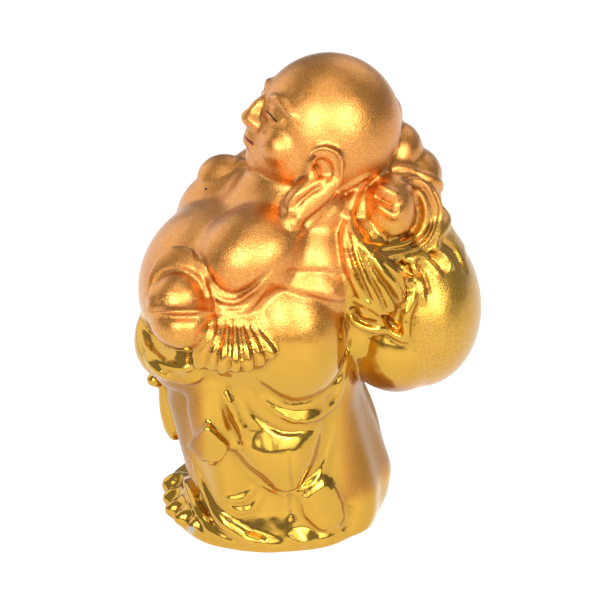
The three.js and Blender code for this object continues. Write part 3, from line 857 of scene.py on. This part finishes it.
# Narrow ridges and creases: (pixels, reach in parts, height in parts)
MARKS = [
    # under the breast, above the border
    ([(203, 258), (208, 275), (214, 287), (224, 294), (236, 296), (250, 290), (264, 278), (276, 266)],
     1.5, -1.1),
    # under the elbow's dome and under the roll below it
    ([(254, 374), (264, 387), (284, 401), (304, 403), (326, 392), (341, 374), (349, 340)], 1.2, -0.7),
    ([(240, 392), (250, 410), (262, 421), (280, 431), (300, 432), (316, 429)], 1.2, -0.6),
    # the front of the sleeve
    ([(219, 388), (229, 420), (237, 438), (243, 454)], 1.5, -1.0),
    ([(226, 390), (236, 416), (248, 438)], 1.8, 0.8),
    ([(226, 384), (238, 410), (250, 433)], 1.3, -0.6),
    # the mould seam down the side
    ([(288, 450), (290, 494), (291, 522)], 0.8, -0.4),
    # the ingot's rim, seen over its hull
    ([(151, 312), (166, 316), (180, 317), (196, 316), (209, 310)], 1.1, -0.5),
    # the drape
    ([(346, 224), (351, 252), (360, 278), (371, 301)], 0.8, -0.8),
    ([(353, 236), (363, 263), (375, 287), (386, 309)], 0.8, -0.8),
    ([(363, 250), (376, 272), (390, 291), (398, 311)], 0.9, -0.8),
    ([(370, 254), (383, 271), (395, 286), (402, 303)], 1.4, 0.8),
    ([(376, 257), (389, 270), (401, 283), (408, 298)], 1.0, -0.9),
    ([(352, 306), (356, 317), (366, 323), (380, 325)], 1.4, -1.1),
    ([(381, 315), (391, 323), (402, 335)], 1.2, -0.9),
    # the hollow of the ear, and the grooves beside its fold and its lobe
    ([(313, 166), (318, 171), (321, 179)], 1.5, -1.5),
    ([(309, 160), (315, 154), (324, 152), (333, 155), (338, 163), (338, 176), (335, 186)], 0.7, -0.6),
    ([(322, 185), (312, 192), (302, 200), (293, 208)], 1.0, -0.8),
    # between the rings of the cuff
    ([(401, 172), (421, 177), (435, 191), (441, 213), (436, 233), (424, 248), (402, 256), (388, 258)],
     0.9, -0.7),
    ([(401, 181), (420, 187), (431, 202), (432, 219), (426, 235), (412, 246), (394, 250), (380, 252)],
     0.9, -0.7),
    ([(404, 189), (415, 199), (419, 215), (413, 230), (400, 238), (384, 242)], 1.2, -0.9),
    *SACK_PLEATS,
    *FINGER_MARKS,
]


def halfway(a, b):
    return tuple(mix(*pair, 0.5) for pair in zip(a, b))


def pleat_marks():
    """Creases between neighbouring pleats."""
    return [([halfway(a[0], b[0]), halfway(a[1], b[1])], *PLEAT_CREASE) for a, b in zip(PLEATS, PLEATS[1:])]


def pleat_rolls(skin):
    """Pleats that swell from thin necks into blunt curled ends."""
    rows = []
    for start, end, radius in PLEATS:
        middle = tuple(mix(a, b, share) for a, b, share in zip(start, end, PLEAT_BEND))
        rows.append((skin.lay([start, middle, end]), [radius * share for share in PLEAT_SWELL]))
    return tubes(rows)


LAID_FOLDS = [*SLEEVE_FOLDS, *BORDER_FOLDS, *CUFF_FOLDS, *ROBE_FOLD_ROLLS, *DRAPE_FOLDS, *CUFF_RINGS,
              *NECKLINE]

# The forms modelled so far, by name
STAGES = {}

# Skin sizes in parts where a form is broad and where it is finer than the common one
TRUNK_GRAIN = 0.8
CLOSE_GRAIN = 0.4
FINE_GRAIN = 0.3


class BudaiSizes(bpy.types.PropertyGroup):
    """How finely the casting is modelled."""

    grain: FloatProperty(name="Grain", description="Skin size of the modelled forms, in parts",
                         default=0.5, min=0.3, max=2)
    final_grain: FloatProperty(name="Final grain", description="Skin size of the whole casting, in parts",
                               default=0.32, min=0.25, max=2)
    soften: IntProperty(name="Soften", description="Passes that rub the casting smooth",
                        default=2, min=0, max=20)
    faces: IntProperty(name="Faces", description="Triangles of the finished casting", default=190000,
                       min=20000, max=199000)
    base_roughness: FloatProperty(name="Lower gloss", description="Roughness of the polished lower robe",
                                  default=0.13, min=0, max=1, subtype="FACTOR")
    satin_roughness: FloatProperty(name="Satin", description="Roughness of the speckled upper figure",
                                   default=0.29, min=0, max=1, subtype="FACTOR")


def sizes():
    return bpy.context.scene.budai


class BUDAI_OT_figure(bpy.types.Operator):
    """Model the flesh, head, robe and arms"""

    bl_idname = "budai.figure"
    bl_label = "Figure"

    def execute(self, context):
        grain = sizes().grain
        STAGES["trunk"] = model_trunk(TRUNK_GRAIN)
        STAGES["head"] = model_head(FINE_GRAIN)
        STAGES["robe"] = press([model_robe(grain), robe_edges()], CLAY + "robe", grain, 3)
        STAGES["sleeve"] = model_sleeve(grain)
        return {"FINISHED"}


class BUDAI_OT_attributes(bpy.types.Operator):
    """Model the ingot, raised arm, fist, sack, feet and tassel"""

    bl_idname = "budai.attributes"
    bl_label = "Ingot, arm and sack"

    def execute(self, context):
        grain = sizes().grain
        STAGES["ingot"] = model_ingot(CLOSE_GRAIN)
        STAGES["far_arm"] = model_far_arm(grain)
        STAGES["fist"] = model_fist(FINE_GRAIN)
        STAGES["sack"] = model_sack(CLOSE_GRAIN)
        STAGES["drape"] = ball(form(*DRAPE))
        low = [base(), *foot(NEAR_FOOT, NEAR_TOES), *foot(FAR_FOOT, FAR_TOES), *cord_and_tassel()]
        STAGES["base"] = press(low, CLAY + "base", CLOSE_GRAIN, 2)
        return {"FINISHED"}


class BUDAI_OT_cast(bpy.types.Operator):
    """Cast all the forms as one piece and give it its gold coat"""

    bl_idname = "budai.cast"
    bl_label = "Cast and coat"

    def execute(self, context):
        s = sizes()
        figure = press(list(STAGES.values()), "gilded_budai", CLOSE_GRAIN, 1)
        raise_shown(figure, PATCHES, flat_share)
        raise_shown(figure, DOMES, domed_share)
        raise_shown(figure, SWAGS, swag_share)
        skin = Surface(figure)
        folds = [fold_rolls(skin, LAID_FOLDS), pleat_rolls(skin)]
        figure = press([figure, *folds], "gilded_budai", s.final_grain, s.soften)
        tool_marks(figure, Surface(figure), MARKS + pleat_marks())
        bisect_ground(figure)
        modify(figure, "DECIMATE", ratio=min(1, s.faces / triangle_count(figure)))
        # DECIMATE can leave two faces on the same corners.
        figure.data.validate()
        modify(figure, "SMOOTH", factor=0.3, iterations=1)
        level_ground(figure)
        bpy.ops.object.shade_smooth()
        coat_attributes(figure)
        figure.data.materials.clear()
        figure.data.materials.append(gilded_resin(s, Surface(figure)))
        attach(figure, "root")
        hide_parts(SOLID)
        return {"FINISHED"}


def triangle_count(item):
    return sum(len(p.vertices) - 2 for p in item.data.polygons)


def bisect_ground(item):
    """Cuts the casting flat where it stands."""
    select_only(item)
    bpy.ops.object.mode_set(mode="EDIT")
    bpy.ops.mesh.select_all(action="SELECT")
    # The cut stands a hair above the ground, so that the soles can't cross it.
    bpy.ops.mesh.bisect(plane_co=(0, 0, 0.02 * PART), plane_no=(0, 0, 1), use_fill=True, clear_inner=True)
    bpy.ops.object.mode_set(mode="OBJECT")


def level_ground(item):
    """Lifts what the last smoothing left below the ground."""
    co = mesh_arrays(item)[0]
    co[:, 2] = np.maximum(co[:, 2], 0)
    move_vertices(item, co)


# Finish

SATIN_GOLD = "#D78E42"
GLOSSY_GOLD = "#CA9C3A"
DULL_GOLD = "#A06E22"
# Painted shade: a brown that darkens the creases and hollows where shade falls
CREASE_SHADE_BROWN = "#8A5A22"
BLACK_PAINT = "#1A120C"
RED_PAINT = "#7A1A14"

# Sizes and depths are in parts, which are millimetres. Grains of the spray are 0.22 across,
# and the glossy coat breaks up into them at its edge.
SPRAY = {"size": 0.22, "depth": 0.15, "break_up": 1.4, "edge": (0.3, 0.7)}
# The strength of the grains' bump where the coat is glossy, and what satin adds to it
SPRAY_STRENGTH = {"glossy": 0.06, "satin": 0.45}
# Painted sparkle: lighter and darker specks stand in for flakes of the satin coat catching and
# missing the light: (colour, the noise at which they are fullest). They cover this share of it, and less
# where it is dull.
PAINTED_SPARKLE = [("#F6C67E", 0.7), ("#AA6826", 0.3)]
SPARKLE_SHARE = 0.5
DULL_SPARKLE_LOSS = 0.35
# The lacquer has run a little unevenly.
WAVES = {"size": 3, "depth": 0.25, "strength": 0.5}
# A clear top coat softens the gold's reflections.
TOP_COAT = {"weight": 0.22, "roughness": 0.22}
# How far the painted shade in the hollows goes toward its brown
CREASE_SHADE_SHARE = 0.7

# Paint on the face: (route in the head's frame, width in parts, colour)
FACE_PAINT = [
    ([(0.16, 1.0, 0.06), (0.36, 0.96, 0.13), (0.54, 0.85, 0.1)], 0.4, BLACK_PAINT),
    ([(0.22, 0.96, -0.11), (0.36, 0.94, -0.1), (0.5, 0.87, -0.12)], 0.4, BLACK_PAINT),
    ([(0, 0.99, -0.6), (0.1, 0.97, -0.6), (0.22, 0.92, -0.6)], 0.7, RED_PAINT),
]
# Wear: (place in pixels, radius in parts, colour), a chip down to the resin and a fleck of paint
WEAR = [((191, 530), 0.8, "#B4AFA6"), ((206, 189), 0.3, "#2A1C12")]
# Soft edges, as shares of a line's width and of a spot's radius
PAINT_EDGE = (0.4, 0.6)
WEAR_EDGE = (0.7, 1.2)


def add_node(tree, kind, settings=None, links=None):
    """Adds a node, sets its values or properties and links its inputs."""
    node = tree.nodes.new(kind)
    for key, value in (settings or {}).items():
        if isinstance(key, str) and hasattr(node, key):
            setattr(node, key, value)
        else:
            node.inputs[key].default_value = value
    for key, source in (links or {}).items():
        tree.links.new(source, node.inputs[key])
    return node


def smooth_share(values, low, high):
    share = np.clip((values - low) / (high - low), 0, 1)
    return share * share * (3 - 2 * share)


# Where the coat changes, in parts. Each pair of numbers is the start and end of a soft edge.
# The glossy coat covers the lower figure, and reaches higher on the cloth behind the body.
GLOSS_TOP = {"body": 45, "behind": 60, "blend": 7}
BEHIND = (8, 12)
# The cloth at the front and the rear is satin and dull below these heights.
FRONT = {"forward": (15.5, 18.5), "top": (33, 37)}
REAR = {"back": (8, 13), "top": (26, 32)}
# The sack is yellow too, and most of its gloss is lost. The lowest cloth and the tassel shine.
SACK_BACK = (20, 24)
SACK_DULLING = 0.75
SHINING_FOOT = (6, 11)
SHINING_TASSEL = {"forward": (15.5, 17), "x": -5, "beside": (2, 4)}
# How the hollows that get the painted shade are found: passes of blurring and a gain
HOLLOW_BLUR = 2
HOLLOW_GAIN = 5


def hollowness(item, co, normals):
    """How far each vertex lies in a hollow, from 0 to 1."""
    edges = np.empty(len(item.data.edges) * 2, int)
    item.data.edges.foreach_get("vertices", edges)
    a, b = edges.reshape(-1, 2).T
    count = np.bincount(a, minlength=len(co)) + np.bincount(b, minlength=len(co))
    hollow = np.zeros(len(co))
    step = co[b] - co[a]
    length = np.linalg.norm(step, axis=1)
    length[length == 0] = 1
    np.add.at(hollow, a, (step * normals[a]).sum(1) / length)
    np.add.at(hollow, b, -(step * normals[b]).sum(1) / length)
    hollow /= np.maximum(count, 1)
    for _ in range(HOLLOW_BLUR):
        total = np.bincount(a, hollow[b], len(co)) + np.bincount(b, hollow[a], len(co))
        hollow = (hollow + total) / (1 + count)
    return np.clip(hollow * HOLLOW_GAIN, 0, 1)


def coat_attributes(item):
    """Writes where the coat is yellow, glossy and dull, and how deep each spot lies in a hollow."""
    co, normals = mesh_arrays(item)
    x, y, z = (co / PART + np.array([0, OUTLINE_MIDDLE, 0])).T
    top = mix(GLOSS_TOP["body"], GLOSS_TOP["behind"], smooth_share(y, *BEHIND))
    low = 1 - smooth_share(z, top - GLOSS_TOP["blend"], top + GLOSS_TOP["blend"])
    front = smooth_share(-y, *FRONT["forward"]) * (1 - smooth_share(z, *FRONT["top"]))
    rear = smooth_share(y, *REAR["back"]) * (1 - smooth_share(z, *REAR["top"]))
    foot_share = 1 - smooth_share(z, *SHINING_FOOT)
    beside = smooth_share(abs(x - SHINING_TASSEL["x"]), *SHINING_TASSEL["beside"])
    tassel = smooth_share(-y, *SHINING_TASSEL["forward"]) * (1 - beside)
    shining = np.maximum.reduce([(1 - front) * (1 - rear), foot_share, tassel])
    sack = smooth_share(y, *SACK_BACK)
    shares = {
        "yellow": low * shining,
        "gloss": low * shining * (1 - SACK_DULLING * sack),
        "dull": low * (1 - shining) * (1 - sack),
        # how deep each spot lies in a hollow, which the painted shade follows
        "hollow": hollowness(item, co, normals),
    }
    for name, values in shares.items():
        layer = item.data.attributes.new(name, "FLOAT", "POINT")
        layer.data.foreach_set("value", values.astype(np.float32))


def colour_mix(tree, share, a, b):
    """Mixes two colours, each a hex string or a socket."""
    settings, links = {"data_type": "RGBA"}, {0: share}
    for slot, colour in ((6, a), (7, b)):
        if isinstance(colour, str):
            settings[slot] = linear(colour)
        else:
            links[slot] = colour
    return add_node(tree, "ShaderNodeMix", settings, links).outputs[2]


def math_node(tree, kind, operation, values, output):
    """A node that works on numbers, vectors and sockets."""
    settings, links = {"operation": operation}, {}
    for slot, value in enumerate(values):
        target = settings if isinstance(value, (int, float, Vector)) else links
        target[slot] = value
    return add_node(tree, kind, settings, links).outputs[output]


def number(tree, operation, *values):
    return math_node(tree, "ShaderNodeMath", operation, values, "Value")


def vector(tree, operation, *values, output="Vector"):
    return math_node(tree, "ShaderNodeVectorMath", operation, values, output)


def ramp(tree, value, low, high, start=0.0, end=1.0):
    """Carries a value between low and high over to start and end, and holds it there."""
    settings = {"From Min": low, "From Max": high, "To Min": start, "To Max": end}
    return add_node(tree, "ShaderNodeMapRange", settings, {"Value": value}).outputs["Result"]


def attribute(tree, name):
    return add_node(tree, "ShaderNodeAttribute", {"attribute_name": name}).outputs["Fac"]


def noise(tree, where, size, detail):
    """Noise of a size in parts."""
    return add_node(tree, "ShaderNodeTexNoise", {"Scale": 1 / (size * PART), "Detail": detail},
                    {"Vector": where}).outputs["Fac"]


def stroke(tree, where, start, end):
    """The distance from each place to a straight brush stroke."""
    along = end - start
    arm = vector(tree, "SUBTRACT", where, start)
    share = vector(tree, "DOT_PRODUCT", arm, along / along.length_squared, output="Value")
    held = add_node(tree, "ShaderNodeClamp", links={"Value": share}).outputs["Result"]
    return vector(tree, "DISTANCE", arm, vector(tree, "MULTIPLY", along, held), output="Value")


def painted(tree, where, route, width):
    """Where a line of paint lies: one route of strokes, of a width in parts."""
    inner, outer = (share * width * PART for share in PAINT_EDGE)
    nearest = None
    for start, end in zip(route, route[1:]):
        gap = stroke(tree, where, start, end)
        nearest = gap if nearest is None else number(tree, "MINIMUM", nearest, gap)
    return ramp(tree, nearest, inner, outer, 1.0, 0.0)


def worn(tree, where, spot, radius):
    """A worn spot of a radius in parts."""
    inner, outer = (share * radius * PART for share in WEAR_EDGE)
    return ramp(tree, vector(tree, "DISTANCE", where, spot, output="Value"), inner, outer, 1.0, 0.0)


def mirrored(tree, where):
    """Both halves of the face match, so its paint follows the distance from the middle."""
    split = add_node(tree, "ShaderNodeSeparateXYZ", links={"Vector": where})
    across = number(tree, "ABSOLUTE", split.outputs["X"])
    return add_node(tree, "ShaderNodeCombineXYZ", links={
        "X": across, "Y": split.outputs["Y"], "Z": split.outputs["Z"]}).outputs["Vector"]


def gold_colour(tree, where, speckle, satin, skin):
    """The gold of each coat, the painted sparkle of its flakes, the painted shade in the hollows, the paint
    and the wear.
    """
    dull = attribute(tree, "dull")
    colour = colour_mix(tree, attribute(tree, "yellow"), SATIN_GOLD, GLOSSY_GOLD)
    colour = colour_mix(tree, dull, colour, DULL_GOLD)
    # Painted shade: the hollows are browned as if in shadow.
    crease_shade = number(tree, "MULTIPLY", attribute(tree, "hollow"), CREASE_SHADE_SHARE)
    colour = colour_mix(tree, crease_shade, colour, CREASE_SHADE_BROWN)
    # Painted sparkle: the flakes of the satin spray lie at all angles, so some are painted lighter, as if
    # catching the light, and some darker.
    most = number(tree, "MULTIPLY_ADD", dull, -DULL_SPARKLE_LOSS, SPARKLE_SHARE)
    sparkled = number(tree, "MULTIPLY", most, satin)
    for shade, fullest in PAINTED_SPARKLE:
        share = number(tree, "MULTIPLY", ramp(tree, speckle, 0.5, fullest), sparkled)
        colour = colour_mix(tree, share, colour, shade)
    halves = mirrored(tree, where)
    for route, width, paint in FACE_PAINT:
        stops = [place(*in_head(*stop)) for stop in route]
        colour = colour_mix(tree, painted(tree, halves, stops, width), colour, paint)
    for spot, radius, paint in WEAR:
        colour = colour_mix(tree, worn(tree, where, skin.find(spot), radius), colour, paint)
    return colour


def gilded_resin(s, skin):
    """Cast resin under a metallised gold lacquer. The spray is satin, speckled and a little
    coppery on the upper figure, and runs glossy and yellower down the side. The hollows are
    browned with painted shade, the satin carries painted sparkle, and the eyes, brows and lips are painted
    on."""
    material = bpy.data.materials.new("gilded_resin")
    material.use_nodes = True
    tree = material.node_tree
    tree.nodes.clear()
    where = add_node(tree, "ShaderNodeTexCoord").outputs["Object"]
    speckle = noise(tree, where, SPRAY["size"], 2.0)
    broken = number(tree, "MULTIPLY_ADD", speckle, SPRAY["break_up"], -SPRAY["break_up"] / 2)
    glossy = ramp(tree, number(tree, "ADD", attribute(tree, "gloss"), broken), *SPRAY["edge"])
    satin = number(tree, "SUBTRACT", 1.0, glossy)
    rough = number(tree, "MULTIPLY_ADD", satin, s.satin_roughness - s.base_roughness, s.base_roughness)
    strength = number(tree, "MULTIPLY_ADD", satin, SPRAY_STRENGTH["satin"], SPRAY_STRENGTH["glossy"])
    grains = add_node(tree, "ShaderNodeBump", {"Distance": SPRAY["depth"] * PART},
                      {"Height": speckle, "Strength": strength})
    run = {"Distance": WAVES["depth"] * PART, "Strength": WAVES["strength"]}
    uneven = add_node(tree, "ShaderNodeBump", run, {
        "Height": noise(tree, where, WAVES["size"], 1.0), "Normal": grains.outputs["Normal"]})
    shader = add_node(tree, "ShaderNodeBsdfPrincipled", {
        "Metallic": 1.0, "Coat Weight": TOP_COAT["weight"], "Coat Roughness": TOP_COAT["roughness"]}, {
        "Base Color": gold_colour(tree, where, speckle, satin, skin),
        "Roughness": rough, "Normal": uneven.outputs["Normal"]})
    add_node(tree, "ShaderNodeOutputMaterial", links={"Surface": shader.outputs["BSDF"]})
    return material


def lit_acrylic():
    """The opal top of a shooting table, lit from below so that it stays white."""
    material = bpy.data.materials.new("lit_acrylic")
    material.use_nodes = True
    shader = material.node_tree.nodes["Principled BSDF"]
    shader.inputs["Base Color"].default_value = linear("#8A8A8A")
    shader.inputs["Roughness"].default_value = 0.6
    shader.inputs["Emission Color"].default_value = linear("#FFFFFF")
    shader.inputs["Emission Strength"].default_value = 0.85
    return material


# Stage

# Soft boxes: (azimuth and elevation in degrees, width and height in parts, brightness)
SOFT_BOXES = [
    # two upright ones on either side of the camera, for the twin highlights, and their hot cores
    (54, 28, 240, 330, 2.6),
    (111, 28, 240, 330, 2.4),
    (54, 32, 90, 170, 12),
    (111, 32, 90, 170, 11),
    # a dim one in the gap between them
    (83, 26, 110, 300, 2.1),
    # the far side's front, overhead, and the far side's back
    (312, 22, 360, 320, 1.0),
    (78, 80, 260, 260, 1.3),
    (230, 40, 260, 260, 0.9),
]
BOX_DISTANCE = 420
WORLD_GLOW = {"rise": (0.0, 0.3), "strength": (0.16, 0.36)}
FLOOR_METRES = 40


def studio_world():
    """A pale studio that is brighter overhead than at the foot of its walls."""
    world = bpy.data.worlds.new("studio")
    world.use_nodes = True
    tree = world.node_tree
    tree.nodes.clear()
    way = add_node(tree, "ShaderNodeTexCoord").outputs["Generated"]
    rise = add_node(tree, "ShaderNodeSeparateXYZ", links={"Vector": way}).outputs["Z"]
    strength = ramp(tree, rise, *WORLD_GLOW["rise"], *WORLD_GLOW["strength"])
    glow = add_node(tree, "ShaderNodeBackground", {"Color": linear("#FFFFFF")}, {"Strength": strength})
    add_node(tree, "ShaderNodeOutputWorld", links={"Surface": glow.outputs["Background"]})
    return world


class BUDAI_OT_stage(bpy.types.Operator):
    """Set the floor, the soft boxes and the camera"""

    bl_idname = "budai.stage"
    bl_label = "Stage"

    def execute(self, context):
        bpy.ops.object.select_all(action="DESELECT")
        bpy.ops.mesh.primitive_plane_add(size=FLOOR_METRES, location=(0, 0, 0))
        floor = bpy.context.object
        floor.name = "floor"
        floor.data.materials.append(lit_acrylic())
        target = place(*VIEW["target"])
        for azimuth, elevation, width, height, brightness in SOFT_BOXES:
            back = way_to(azimuth, elevation)
            bpy.ops.object.light_add(type="AREA", location=target + back * (BOX_DISTANCE * PART))
            light = bpy.context.object
            light.data.shape = "RECTANGLE"
            light.data.size, light.data.size_y = width * PART, height * PART
            light.data.energy = brightness * math.pi * width * height * PART * PART
            light.rotation_euler = (-back).to_track_quat("-Z", "Y").to_euler()
        context.scene.world = studio_world()
        context.scene.view_settings.view_transform = "Standard"
        bpy.ops.object.camera_add(location=EYE)
        camera = bpy.context.object
        camera.rotation_euler = (-BACK).to_track_quat("-Z", "Y").to_euler()
        camera.data.sensor_width = SENSOR
        camera.data.lens = SENSOR * FOCAL / FRAME
        camera.data.clip_start, camera.data.clip_end = 0.01, 100
        context.scene.camera = camera
        return {"FINISHED"}


class BUDAI_PT_panel(bpy.types.Panel):
    """Lists the steps of the figure"""

    bl_label = "Budai"
    bl_space_type = "VIEW_3D"
    bl_region_type = "UI"
    bl_category = "Budai"

    def draw(self, context):
        settings = context.scene.budai
        for name in ("grain", "final_grain", "soften", "faces", "base_roughness", "satin_roughness"):
            self.layout.prop(settings, name)
        for operator in OPERATORS:
            self.layout.operator(operator.bl_idname)


OPERATORS = (BUDAI_OT_figure, BUDAI_OT_attributes, BUDAI_OT_cast, BUDAI_OT_stage)
CLASSES = (BudaiSizes, *OPERATORS, BUDAI_PT_panel)


def register():
    for item in CLASSES:
        bpy.utils.register_class(item)
    bpy.types.Scene.budai = PointerProperty(type=BudaiSizes)


def unregister():
    del bpy.types.Scene.budai
    for item in reversed(CLASSES):
        bpy.utils.unregister_class(item)


def main():
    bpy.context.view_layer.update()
    register()
    bpy.ops.budai.figure()
    bpy.ops.budai.attributes()
    bpy.ops.budai.cast()
    bpy.ops.budai.stage()


if __name__ == "__main__":
    main()
